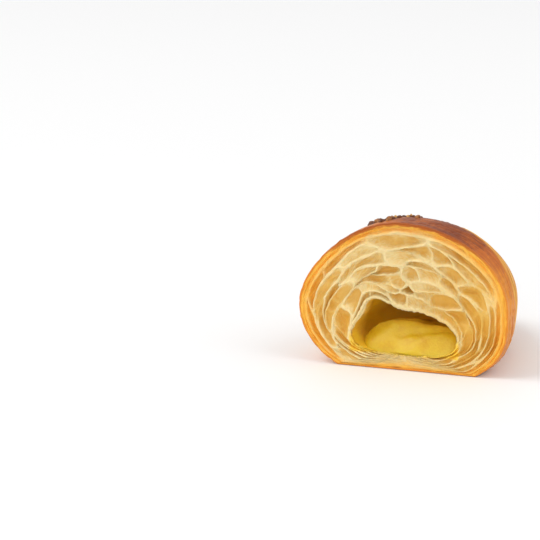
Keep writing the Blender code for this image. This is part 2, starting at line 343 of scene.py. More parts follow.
class Recipe:
    """A material's node tree, written as expressions on its values."""

    MIX_SOCKETS = (0, 6, 7)
    MIX_OUTPUT = 2

    def __init__(self, name: str) -> None:
        """Start a named material with one Principled shader."""
        self.material = bpy.data.materials.new(name)
        self.material.use_nodes = True
        self.tree = self.material.node_tree
        self.shader = self.tree.nodes["Principled BSDF"]
        self._object = self.tree.nodes.new("ShaderNodeTexCoord").outputs["Object"]

    def node(
        self, kind: str, settings: dict[str, Any], links: dict[Any, Any], out: Any = 0
    ) -> Value:
        """Add a node.

        Args:
            kind: The node's type.
            settings: Its own settings, set before its sockets.
            links: A value or a constant for each socket, by name or number.
            out: The output to use.

        Returns:
            The output as a value.
        """
        made = self.tree.nodes.new(kind)
        for name, setting in settings.items():
            setattr(made, name, setting)
        for name, given in links.items():
            if isinstance(given, Value):
                self.tree.links.new(given.socket, made.inputs[name])
            else:
                made.inputs[name].default_value = given
        return Value(self, made.outputs[out])

    def attributes(self, *names: str) -> list[Value]:
        """Numbers that the mesh carries, by name."""
        kind = {"attribute_type": "GEOMETRY"}
        return [
            self.node("ShaderNodeAttribute", {**kind, "attribute_name": name}, {}, "Fac")
            for name in names
        ]

    def noise(self, place: Value, scale: float, detail: float) -> Value:
        """Noise at a place, from 0 to 1 with its middle at 0.5."""
        links = {"Vector": place, "Scale": scale, "Detail": detail}
        return self.node("ShaderNodeTexNoise", {}, links)

    def grain(self, size: float, detail: float = 3.0) -> Value:
        """Noise with lumps of about a size in metres and a number of finer layers."""
        return self.noise(Value(self, self._object), 1 / size, detail)

    def streaks(self, x: Value, y: Value, z: Value) -> Value:
        """Noise on three values of the mesh, with lumps about one unit long in each."""
        place = self.node("ShaderNodeCombineXYZ", {}, {"X": x, "Y": y, "Z": z})
        return self.noise(place, 1.0, 3.0)

    def mixed(self, share: Any, first: Any, second: Any) -> Value:
        """A colour between two colours.

        Args:
            share: How much of the second there is.
            first: A colour or a value.
            second: A colour or a value.

        Returns:
            The mixed colour.
        """
        ends = [end if isinstance(end, Value) else (*end, 1.0) for end in (first, second)]
        links = dict(zip(self.MIX_SOCKETS, (share, *ends)))
        return self.node("ShaderNodeMix", {"data_type": "RGBA"}, links, self.MIX_OUTPUT)

    def plain(self, constants: dict[str, Any]) -> bpy.types.Material:
        """Set what is the same all over the surface and give the material."""
        for name, number in constants.items():
            self.shader.inputs[name].default_value = number
        return self.material

    def finish(
        self, colour: Value, rough: Value, height: Value, depth: float, constants: dict[str, Any]
    ) -> bpy.types.Material:
        """Set the shader's own sockets.

        Args:
            colour: The surface's colour.
            rough: Its roughness.
            height: A height field from 0 to 1 that tilts its normal.
            depth: How high that field's bumps are, in metres.
            constants: Numbers that are the same all over it.

        Returns:
            The finished material.
        """
        bumps = {"Height": height, "Strength": 1.0, "Distance": depth}
        normal = self.node("ShaderNodeBump", {}, bumps, "Normal")
        links = {"Base Color": colour, "Roughness": rough, "Normal": normal}
        for name, value in links.items():
            self.tree.links.new(value.socket, self.shader.inputs[name])
        return self.plain(constants)


def deselect() -> None:
    """Leave nothing selected, because an operator works on all that is."""
    bpy.ops.object.select_all(action="DESELECT")


def settle(piece: bpy.types.Object, slot: Slot, material: bpy.types.Material) -> None:
    """Dress a finished piece and tie it to the half.

    Args:
        piece: The piece, with its place in its mesh.
        slot: The record's finish that it stands for; it is not used.
        material: Its material.
    """
    piece.data.materials.clear()
    piece.data.materials.append(material)
    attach(piece, BODY)
    log.info("%s: %d faces", piece.name, len(piece.data.polygons))


def rolled_sheet(
    name: str, points: np.ndarray, attributes: dict[str, np.ndarray], outward: bool
) -> bpy.types.Object:
    """Roll a flat grid up round the roll and give it the form of a table of points.

    Args:
        name: The object's name.
        points: Rows of points; each row runs from +X over +Z and closes on itself.
        attributes: Numbers for each point, by name.
        outward: Whether it faces away from the roll's middle where its rows follow each
            other along +Y.

    Returns:
        The sheet, with its seam and its poles merged and its place in its mesh.
    """
    rows, columns, _ = points.shape
    deselect()
    bpy.ops.mesh.primitive_grid_add(x_subdivisions=columns, y_subdivisions=rows - 1, size=2.0)
    sheet = bpy.context.object
    sheet.name = name
    mesh = sheet.data
    flat = np.empty(len(mesh.vertices) * 3, np.float32)
    mesh.vertices.foreach_get("co", flat)
    flat = flat.reshape(-1, 3)
    column = np.rint((flat[:, 0] + 1) / 2 * columns).astype(int) % columns
    row = np.rint((flat[:, 1] + 1) / 2 * (rows - 1)).astype(int)
    shaped = points[row, column] + np.array(PLACE)
    mesh.vertices.foreach_set("co", shaped.astype(np.float32).ravel())
    for label, numbers in attributes.items():
        layer = mesh.attributes.new(label, "FLOAT", "POINT")
        layer.data.foreach_set("value", numbers[row, column].astype(np.float32))
    bpy.ops.object.mode_set(mode="EDIT")
    bpy.ops.mesh.select_all(action="SELECT")
    bpy.ops.mesh.remove_doubles(threshold=SAME_PLACE)
    if outward:
        bpy.ops.mesh.flip_normals()
    bpy.ops.object.mode_set(mode="OBJECT")
    bpy.ops.object.shade_smooth()
    return sheet


def turned(columns: int) -> np.ndarray:
    """Even angles round a full turn."""
    return FULL_TURN * np.arange(columns) / columns


def out_from_middle(points: np.ndarray) -> np.ndarray:
    """Directions in the cut's plane from the roll's middle to each point."""
    outward = points - np.array((0.0, 0.0, ROLL.widest_height))
    outward[:, 1] = 0.0
    return outward / np.linalg.norm(outward, axis=1)[:, None]


@dataclass(frozen=True)
class Strewing:
    """Where chopped nuts were strewn over the crust."""

    first: float = 0.003
    last: float = 0.078
    sides: tuple[float, float] = (math.radians(40), math.radians(165))
    ridge: float = math.radians(104)
    ridge_turn: float = math.radians(12)
    spread: float = math.radians(25)
    spread_at_cut: float = 0.42
    clump_fill: float = 0.75
    clump_contrast: float = 1.6
    clump_along: float = 130.0
    clump_around: float = 4.0
    bare_before_edge: float = 0.0045
    bare_fade: float = 0.003

    def density(self, along: np.ndarray, angle: np.ndarray) -> np.ndarray:
        """How likely a nut is to lie at each place of the crust, from 0 to 1."""
        ridge = self.ridge - self.ridge_turn * ease(along / ROLL.length)
        widening = self.spread_at_cut + (1 - self.spread_at_cut) * ease(along / ROLL.wrap_edges[1])
        top = bell((angle - ridge) / (self.spread * widening))
        clump = lumps(along * self.clump_along, angle * self.clump_around, 0.0)
        clump = ease(self.clump_fill + self.clump_contrast * clump)
        number, share, width = ROLL.wrap_share(along)
        bare = ease(((1 - share) * width - self.bare_before_edge) / self.bare_fade)
        bare = np.where(number < len(ROLL.wrap_edges), bare, 1.0)
        start = ease((along - self.first) / self.bare_fade)
        end = ease((self.last - along) / self.bare_fade)
        return top * clump * bare * start * end


@dataclass(frozen=True)
class CrustFinish:
    """Egg-glazed skin, golden to red-brown, with pale layered bands."""

    brown: Colour = (0.205, 0.040, 0.008)
    amber: Colour = (0.50, 0.122, 0.009)
    gold: Colour = (0.74, 0.265, 0.018)
    pale: Colour = (0.88, 0.52, 0.110)
    # seam: colour of painted shade in the cracks and seams; also the browned top of the cut's rim
    seam: Colour = (0.38, 0.085, 0.006)
    base: Colour = (0.50, 0.22, 0.05)
    rim: Colour = (0.72, 0.235, 0.014)
    patch_size: float = 0.010
    freckle_size: float = 0.0017
    fine_streaks: tuple[float, float] = (2.6, 1350.0)
    wide_streaks: tuple[float, float] = (1.7, 360.0)
    bump_depth: float = 0.00032

    def material(self) -> bpy.types.Material:
        """The crust's material."""
        mix = Recipe("baked_crust")
        band, groove, roast, base, cut = mix.attributes("band", "groove", "roast", "base", "cut")
        x, z, along = mix.attributes("round_x", "round_z", "along")
        patches = mix.grain(self.patch_size, 4.0)
        freckles = mix.grain(self.freckle_size)
        around, lengthwise = self.fine_streaks
        streaks = mix.streaks(x * around, z * around, along * lengthwise)
        around, lengthwise = self.wide_streaks
        wide = mix.streaks(x * around + 7.0, z * around, along * lengthwise)
        # The streaks darken and lighten the skin: partly the dough's own streaks, partly painted highlight
        # lines along the rim.
        dark = roast + patches.swing(0.9) + freckles.swing(0.45) + streaks.swing(0.75)
        skin = mix.mixed(dark.between(0.10, 0.62), self.gold, self.amber)
        skin = mix.mixed(dark.between(0.62, 1.12), skin, self.brown)
        toned = streaks * 0.6 + wide * 0.7
        layers = mix.mixed(toned.between(0.50, 0.80), self.gold, self.pale)
        layers = mix.mixed((0.62 - toned).between(0.02, 0.20) * 0.55, layers, self.amber)
        colour = mix.mixed((band + (streaks - 0.5)).between(0.15, 0.85), skin, layers)
        # Painted shade: the groove mask darkens the cracks, the wrap seams and the sunk layers with the
        # seam colour.
        colour = mix.mixed((groove * 0.85).clipped(), colour, self.seam)
        under = mix.mixed(freckles.between(0.50, 0.72), self.base, self.amber)
        colour = mix.mixed(base, colour, under)
        rim = mix.mixed(z.between(0.35, 0.85), self.rim, self.seam)
        colour = mix.mixed(cut, colour, rim)
        rough = 0.33 + band * 0.18 + base * 0.3 + freckles * 0.12
        height = freckles * 0.5 + streaks * (0.6 + band * 0.9)
        constants = {"Specular IOR Level": 0.40, "Subsurface Weight": 0.05, "Subsurface Scale": 0.002}
        return mix.finish(colour, rough, height, self.bump_depth, constants)


@dataclass
class Crust:
    """The baked outside: glazed wraps with layered edges, round to the cut's rim."""

    columns: int = 440
    rows_a_wrap: tuple[int, ...] = (60, 64, 50, 8)
    tip_rows: int = 34
    lip_width: float = 0.0007
    lip_depth: float = 0.0016
    lip_tuck: float = 0.0012
    lip_turn: tuple[float, float] = (0.0002, 0.00030)
    lip_step: float = 0.00002
    edge_radius: float = 0.00025
    row_gap: float = 1e-5
    layer_pitch: float = 0.0015
    layer_depth: float = 0.00042
    layer_wander: tuple[float, float] = (0.0009, 0.0003)
    crack_depth: float = 0.00055
    crack_width: float = 0.11
    seam_depth: float = 0.0008
    seam_width: float = 0.0009
    blister_height: float = 0.00030
    blister_spacing: float = 0.0030
    blister_reach: float = 0.45
    wrinkle_depth: float = 0.00022
    band_at_ridge: float = 0.0032
    band_widths: tuple[float, ...] = (0.0125, 0.0170, 0.0130, 0.0110)
    band_wobble: tuple[float, float] = (0.0034, 0.0014)
    band_fade: float = 0.0050
    inset: float = 0.00022
    ridge: float = math.radians(106)
    roast: float = 0.28
    roast_on_top: float = 0.42
    roast_on_blisters: float = 0.14
    roast_under_nuts: float = 0.30
    roast_in_patches: float = 0.50
    scorch: float = 0.34
    scorch_angle: float = math.radians(68)
    scorch_spread: float = 0.55
    scorch_length: float = 0.032
    base_height: float = 0.0012
    base_fade: float = 0.0009
    strewing: Strewing = Strewing()
    finish: CrustFinish = CrustFinish()

    def rows(self) -> np.ndarray:
        """Distances from the cut at which there is a row of points, closer at each edge."""
        last = ROLL.length - ROLL.tip_round
        starts = (self.edge_radius, *ROLL.wrap_edges)
        ends = (*ROLL.wrap_edges, last)
        rows = []
        for start, end, count in zip(starts, ends, self.rows_a_wrap):
            shares = np.arange(count) / count
            rows.append(start + (end - start) * shares)
            rows.append(np.array([end - self.row_gap]))
        quarter = np.linspace(0.0, math.pi / 2, self.tip_rows + 1)
        rows.append(last + ROLL.tip_round * np.sin(quarter))
        return np.concatenate(rows)

    def band(self, along: np.ndarray, angle: np.ndarray) -> np.ndarray:
        """How much the pale dough layers show, from 0 to 1."""
        number, share, width = ROLL.wrap_share(along)
        x, z = np.cos(angle), np.sin(angle)
        broad, fine = self.band_wobble
        wobble = broad * lumps(x * 2.0 + number * 3, z * 2.0, 0.4)
        wobble = wobble + fine * lumps(x * 8, z * 8, number * 2.0)
        side = np.abs(((angle - self.ridge + math.pi) % FULL_TURN) - math.pi)
        flank = ease((side - 0.30) / 0.80) * (1 - ease((side - 1.50) / 0.90))
        widest = np.array(self.band_widths)[number]
        reach = self.band_at_ridge + flank * (widest - self.band_at_ridge)
        return ease((reach + wobble - (1 - share) * width) / self.band_fade + 0.5)

    def relief(self, along: np.ndarray, angle: np.ndarray) -> dict[str, np.ndarray]:
        """How the surface rises and sinks, and what that does to its colour.

        Args:
            along: Distances from the cut.
            angle: Angles round the roll.

        Returns:
            The height of each point and the numbers that the material reads.
        """
        number, share, width = ROLL.wrap_share(along)
        x, z = np.cos(angle), np.sin(angle)
        band = self.band(along, angle)
        broad, fine = self.layer_wander
        wander = broad * lumps(x * 1.8, along * 50, z * 1.8) + fine * lumps(x * 6, along * 140, z * 6)
        line = along + wander
        layer = 0.5 + 0.5 * np.sin(FULL_TURN * (line + number * 0.0005) / self.layer_pitch)
        broken = lumps(x * 1.6 + 9, line * 520, z * 1.6)
        layers = 0.45 * (layer - 0.5) + 0.9 * broken
        crack = creases(lumps(x * 1.3 + 4, line * 400, z * 1.3), self.crack_width)
        crack = crack * ease(lumps(x * 3.1, along * 80 + 5, z * 3.1) * 2.4 + 0.35)
        skin = 1 - band
        flat = ROLL.skin(along, angle).reshape(-1, 3) / self.blister_spacing
        near = np.fromiter((noise.voronoi(p)[0][0] for p in flat.tolist()), float, len(flat))
        near = near.reshape(along.shape) / self.blister_reach
        patch = ease(0.45 + 1.6 * lumps(x * 3.0, along * 75 + 3, z * 3.0))
        bubbles = np.maximum(0.0, 1 - near**2) ** 1.5 * patch
        wrinkle = creases(lumps(x * 6, along * 300 + 2, z * 6), 1 / 3) ** 2
        height = band * (self.layer_depth * layers - self.crack_depth * crack)
        height = height + skin * (self.blister_height * bubbles - self.wrinkle_depth * wrinkle)
        height = height - skin * 0.5 * self.crack_depth * crack - self.inset
        after_edge = np.where(number > 0, share * width, 1.0)
        seam = bell(after_edge / self.seam_width) * ease(0.8 + 1.5 * lumps(x * 5, number * 3.0, z * 5))
        height = height - self.seam_depth * seam
        ridge = np.cos(angle - self.ridge)
        roast = self.roast + self.roast_on_top * ease(ridge * 1.3) + self.roast_on_blisters * bubbles
        roast = roast + self.roast_under_nuts * self.strewing.density(along, angle)
        scorch = bell((angle - self.scorch_angle) / self.scorch_spread)
        roast = roast + self.scorch * scorch * (1 - ease(along / self.scorch_length))
        roast = roast + self.roast_in_patches * lumps(x * 1.7 + 3, along * 42, z * 1.7)
        # groove is a painted-shade mask: high in the cracks, at the seams and where the layers sink.
        groove = np.clip(0.9 * band * crack + 0.45 * skin * crack + 0.8 * seam, 0, 1)
        groove = np.clip(groove + 0.30 * band * ease(-broken * 2.5), 0, 1)
        return {
            "height": height,
            "band": band,
            "groove": groove,
            "roast": np.clip(roast, 0, 1),
            "round_x": x,
            "round_z": z,
            "along": line,
        }

    def build(self) -> bpy.types.Object:
        """Make the crust's mesh.

        Returns:
            The crust.
        """
        along, angle = np.meshgrid(self.rows(), turned(self.columns), indexing="ij")
        look = self.relief(along, angle)
        closing = ROLL.closing(along)
        height = look.pop("height") * (0.25 + 0.75 * closing) * closing
        look["base"] = ease((self.base_height - ROLL.skin(along, angle)[..., 2]) / self.base_fade)
        points = ROLL.skin(along, angle, height)
        lip = self.lip(points[0])
        extra = ((len(lip), 0), (0, 0))
        look = {label: np.pad(numbers, extra, "edge") for label, numbers in look.items()}
        look["cut"] = np.pad(np.zeros(along.shape), extra, constant_values=1.0)
        return rolled_sheet("crust", np.concatenate((lip, points)), look, outward=True)

    def lip(self, first: np.ndarray) -> np.ndarray:
        """The rows that turn the crust's edge over onto the cut face and into the bread.

        Args:
            first: The crust's first row of points.

        Returns:
            Five rows of points, the one deepest in the bread first.
        """
        outward = out_from_middle(first)
        radius = self.edge_radius
        turn_width, turn_depth = self.lip_turn
        shapes = (
            (self.lip_width + self.lip_tuck, self.lip_depth),
            (self.lip_width, turn_depth),
            (self.lip_width - turn_width, self.lip_step),
            (radius, 0.0),
            (0.3 * radius, 0.3 * radius),
        )
        rows = []
        for inside, depth in shapes:
            row = first - outward * inside
            row[:, 1] = depth
            rows.append(row)
        return np.stack(rows)


@dataclass(frozen=True)
class CrumbFinish:
    """Pale airy crumb: creamy walls, golden cells that darken with depth through their golden tone and
    painted shade, and toasted layers under the crust.
    """

    wall: Colour = (0.85, 0.675, 0.335)
    # cell and the deeper colour below it: the crumb's golden tone together with painted shade in the
    # pockets.
    cell: Colour = (0.77, 0.485, 0.120)
    deep_golden_and_shade: Colour = (0.70, 0.36, 0.040)
    golden: Colour = (0.78, 0.47, 0.075)
    rim: Colour = (0.95, 0.47, 0.035)
    edge: Colour = (0.78, 0.27, 0.014)
    roasted: Colour = (0.52, 0.125, 0.008)
    base: Colour = (0.58, 0.23, 0.045)
    oiled: Colour = (0.97, 0.56, 0.018)
    cream: Colour = (0.96, 0.62, 0.040)

    mottle_size: float = 0.0012
    cloud_size: float = 0.006
    pore_size: float = 0.0006
    streaks_around: float = 6.0
    streaks_inward: float = 1100.0
    lamellae_inward: float = 800.0
    toasted_reach: tuple[float, float] = (0.0010, 0.0062)
    burnt_reach: tuple[float, float] = (0.0001, 0.0012)
    bump_depth: float = 0.00022

    def material(self) -> bpy.types.Material:
        """The crumb's material."""
        mix = Recipe("crumb")
        depth, to_rim, inside, stain = mix.attributes("depth", "to_rim", "inside", "stain")
        x, z = mix.attributes("round_x", "round_z")
        mottle = mix.grain(self.mottle_size)
        broad = mix.grain(self.cloud_size, 2.0)
        around_x, around_z = x * self.streaks_around, z * self.streaks_around
        streaks = mix.streaks(around_x, around_z, to_rim * self.streaks_inward)
        thinner = z * z * 0.70 + 0.70
        lamellae = mix.streaks(around_x + 3.0, around_z, to_rim * thinner * self.lamellae_inward)
        line = (1 - (lamellae - 0.5).size() * 11.0).clipped() * (1 - depth)
        shade = depth + mottle.swing(0.30) + broad.swing(0.35) - line * 0.30
        # Painted shade: the colour runs from wall to cell to the deeper colour as a pocket gets deeper,
        # partly golden tone and partly painted shade.
        colour = mix.mixed(shade.between(0.05, 0.55), self.wall, self.cell)
        colour = mix.mixed(shade.between(0.55, 1.20), colour, self.deep_golden_and_shade)
        on_top = z.between(0.35, 0.90)
        below = (0 - z).between(0.5, 0.95)
        warm = x.between(0.3, 0.9) * 0.45 + below * 0.58
        colour = mix.mixed(warm * (1 - line * 0.6), colour, self.golden)
        near_rim = to_rim * thinner + streaks.swing(0.0036) + broad.swing(0.0014)
        toasted = 1 - (near_rim - on_top * 0.0014).between(*self.toasted_reach)
        colour = mix.mixed(toasted * 0.92, colour, self.rim)
        thicker = on_top * 0.0013 + below * (broad - 0.35) * 0.0034
        burnt = 1 - (near_rim - thicker).between(*self.burnt_reach)
        edge = mix.mixed(below * 0.7, mix.mixed(on_top, self.edge, self.roasted), self.base)
        colour = mix.mixed(burnt, colour, edge)
        colour = mix.mixed((inside + (mottle - 0.5) * inside * 0.6).clipped(), colour, self.oiled)
        colour = mix.mixed((stain * 0.9).clipped(), colour, self.cream)
        rough = 0.55 - inside * 0.2 + mottle * 0.1
        height = mix.grain(self.pore_size) * 0.4 + line * 0.7
        constants = {
            "Subsurface Weight": 0.15,
            "Subsurface Radius": (1.0, 0.6, 0.25),
            "Subsurface Scale": 0.0012,
            "Specular IOR Level": 0.35,
        }
        return mix.finish(colour, rough, height, self.bump_depth, constants)


def nearest_of(here: np.ndarray, middles: np.ndarray) -> np.ndarray:
    """Number of the middle that lies nearest to each point."""
    nearest = np.full(here.shape[:-1], np.inf)
    owner = np.zeros(here.shape[:-1], int)
    for number, site in enumerate(middles):
        away = ((here - site) ** 2).sum(axis=-1)
        owner = np.where(away < nearest, number, owner)
        nearest = np.minimum(away, nearest)
    return owner


@dataclass(frozen=True)
class Honeycomb:
    """Rounded cells laid out in rings between the hollow and the crust."""

    rings: int = 7
    cells_a_ring: int = 15
    jitter: float = 0.36
    missing: float = 0.12
    missing_at_sides: float = 0.30
    seed: int = 7
    shallowest: float = 0.40
    start: float = 0.04
    end: float = 0.88
    roundness: int = 7
    neighbour_reach: float = 4.0
    least_total: float = 1e-12
    waver_along: float = 0.45
    waver_level: float = 0.55
    half_wall: float = 0.00028
    deepest: float = 0.0060
    depth_by_height: float = 1.1
    open_walls: float = 0.36
    wall_drop: float = 0.0024
    pressed: float = 0.85
    thickest_wall: float = 0.26
    widest_edge: float = 0.7
    lowest_wall: float = 0.6
    roundness_of_floor: float = 2.4
    floor_lumps: float = 0.14
    floor_creases: float = 0.22
    drawn_to_wall: float = 0.55

    def sites(self) -> np.ndarray:
        """Middles of the cells, as place in the ring, ring and share of the greatest depth."""
        draw = random.Random(self.seed)
        sites = []
        for ring in range(self.rings):
            for place in range(self.cells_a_ring):
                turn = place + 0.5 * (ring % 2) + draw.uniform(-self.jitter, self.jitter)
                level = ring + 0.5 + draw.uniform(-self.jitter, self.jitter)
                depth = draw.uniform(self.shallowest, 1.0)
                beside = math.cos(FULL_TURN * turn / self.cells_a_ring) ** 2
                if draw.random() > self.missing + self.missing_at_sides * beside:
                    sites.append((turn, level, depth))
        return np.array(sites)

    def drops(self, count: int) -> np.ndarray:
        """How far back from the cut the wall between each two cells starts."""
        draw = random.Random(self.seed + 1)
        drops = np.zeros((count, count))
        for one in range(count):
            for other in range(one):
                if draw.random() < self.open_walls:
                    drops[one, other] = self.wall_drop * draw.uniform(0.4, 1.0)
        return drops + drops.T

    def walls(
        self, owner: np.ndarray, middles: np.ndarray, count: int
    ) -> Iterator[tuple[np.ndarray, Any, Any]]:
        """Give the walls round each point's cell, one neighbour at a time.

        Args:
            owner: Number of the cell that each point lies in.
            middles: The cells' middles, with those that lie past the seam on either side.
            count: How many cells there are in one turn.

        Yields:
            Its pull on the cell's outline, whether it is there, and how far back it starts.
        """
        middle = middles[owner]
        drops = self.drops(count)
        for number, site in enumerate(middles):
            between = site - middle
            square = (between**2).sum(axis=-1)
            there = (square > TINY) & (square < self.neighbour_reach**2)
            pull = 2 * between / np.where(there, square, 1.0)[..., None]
            yield pull, there, drops[owner % count, number % count]
        for reach in (-middle[..., 1], self.rings - middle[..., 1]):
            yield np.stack((np.zeros(owner.shape), 1 / reach), axis=-1), 1.0, 0.0

    def wavered(self, turn: np.ndarray, level: np.ndarray) -> tuple[np.ndarray, np.ndarray]:
        """Bend the rings of cells so that their walls curve.

        Args:
            turn: Places along the ring, in cells.
            level: Places across the rings, in rings.

        Returns:
            The bent places.
        """
        angle = turn / self.cells_a_ring * FULL_TURN
        x, z = np.cos(angle) * 2, np.sin(angle) * 2
        share = np.clip(level / self.rings, 0.0, 1.0)
        fade = 4 * share * (1 - share)
        bent_turn = turn + self.waver_along * fade * lumps(x, z, level * 0.7)
        bent_level = level + self.waver_level * fade * lumps(x + 5, z, level * 0.7)
        return bent_turn, bent_level

    def opened(
        self,
        share: np.ndarray,
        angle: np.ndarray,
        around: np.ndarray,
        width: np.ndarray,
        flat: np.ndarray,
    ) -> dict[str, np.ndarray]:
        """Sink the cells into a grid of the cut face and draw its points to their walls.

        Args:
            share: How far each point lies from the hollow's edge to the crust.
            angle: Its angle round the hollow.
            around: Length of the ring that it lies on.
            width: Distance from the hollow's edge to the crust there.
            flat: Where it lies on the face before any cell is sunk.

        Returns:
            Its depth below the cut, and the share and angle that it is drawn to.
        """
        span = self.end - self.start
        turn = angle / FULL_TURN * self.cells_a_ring
        level = (share - self.start) / span * self.rings
        scale = np.stack((around / self.cells_a_ring, width * span / self.rings), axis=-1)
        sites = self.sites()
        count = len(sites)
        copies = [sites[:, :2] + (shift * self.cells_a_ring, 0.0) for shift in (-1, 0, 1)]
        middles = np.concatenate(copies)
        here = np.stack((turn, level), axis=-1)
        owner = nearest_of(here, middles)
        offset = here - middles[owner]
        total = np.full(turn.shape, self.least_total)
        slope = np.zeros(offset.shape)
        sunk = np.zeros(turn.shape)
        for pull, there, drop in self.walls(owner, middles, count):
            push = np.maximum(0.0, (offset * pull).sum(axis=-1)) * there
            power = push ** (self.roundness - 1)
            total = total + power * push
            slope = slope + power[..., None] * pull
            sunk = sunk + power * push * drop
        outline = total ** (1 / self.roundness)
        slope = slope * (outline ** (1 - self.roundness))[..., None]
        steep = np.sqrt(((slope / scale) ** 2).sum(axis=-1))
        x, z = flat[..., 0], flat[..., 2]
        uneven = 1.3 * lumps(x * 85, 3.0, z * 85) + 0.5 * lumps(x * 240, 3.0, z * 240)
        wall = self.half_wall * np.maximum(0.45, 1.15 + uneven)
        wall = np.minimum(wall, self.thickest_wall * scale[..., 1])
        edge = np.clip(wall * steep, 0.0, self.widest_edge)
        into = np.clip((1 - outline - edge) / (1 - edge), 0.0, 1.0)
        into = np.where((level > 0) & (level < self.rings), into, 0.0)
        height = scale.min(axis=-1)
        deepest = np.minimum(self.deepest * sites[owner % count, 2], self.depth_by_height * height)
        deepest *= ease((scale[..., 1] - 0.0006) / 0.0012)
        deepest *= 1 - self.pressed * ease((-np.sin(angle) - 0.50) / 0.30)
        drop = np.minimum(sunk / total, self.lowest_wall * deepest)
        drop = drop * ease(into * 40 + (outline < 1.15))
        ridges = creases(lumps(x * 120, 9.0, z * 120), 1 / 6)
        uneven = self.floor_lumps * lumps(x * 380, 8.0, z * 380) - self.floor_creases * ridges
        floor = deepest * (1 + uneven)
        depth = drop + np.maximum(0.0, floor - drop) * (1 - (1 - into) ** self.roundness_of_floor)
        push = self.drawn_to_wall * into * (1 - into)
        turn, level = self.wavered(turn + offset[..., 0] * push, level + offset[..., 1] * push)
        return {
            "depth": np.where((level > 0) & (level < self.rings), depth, 0.0),
            "share": self.start + level / self.rings * span,
            "angle": turn / self.cells_a_ring * FULL_TURN,
        }


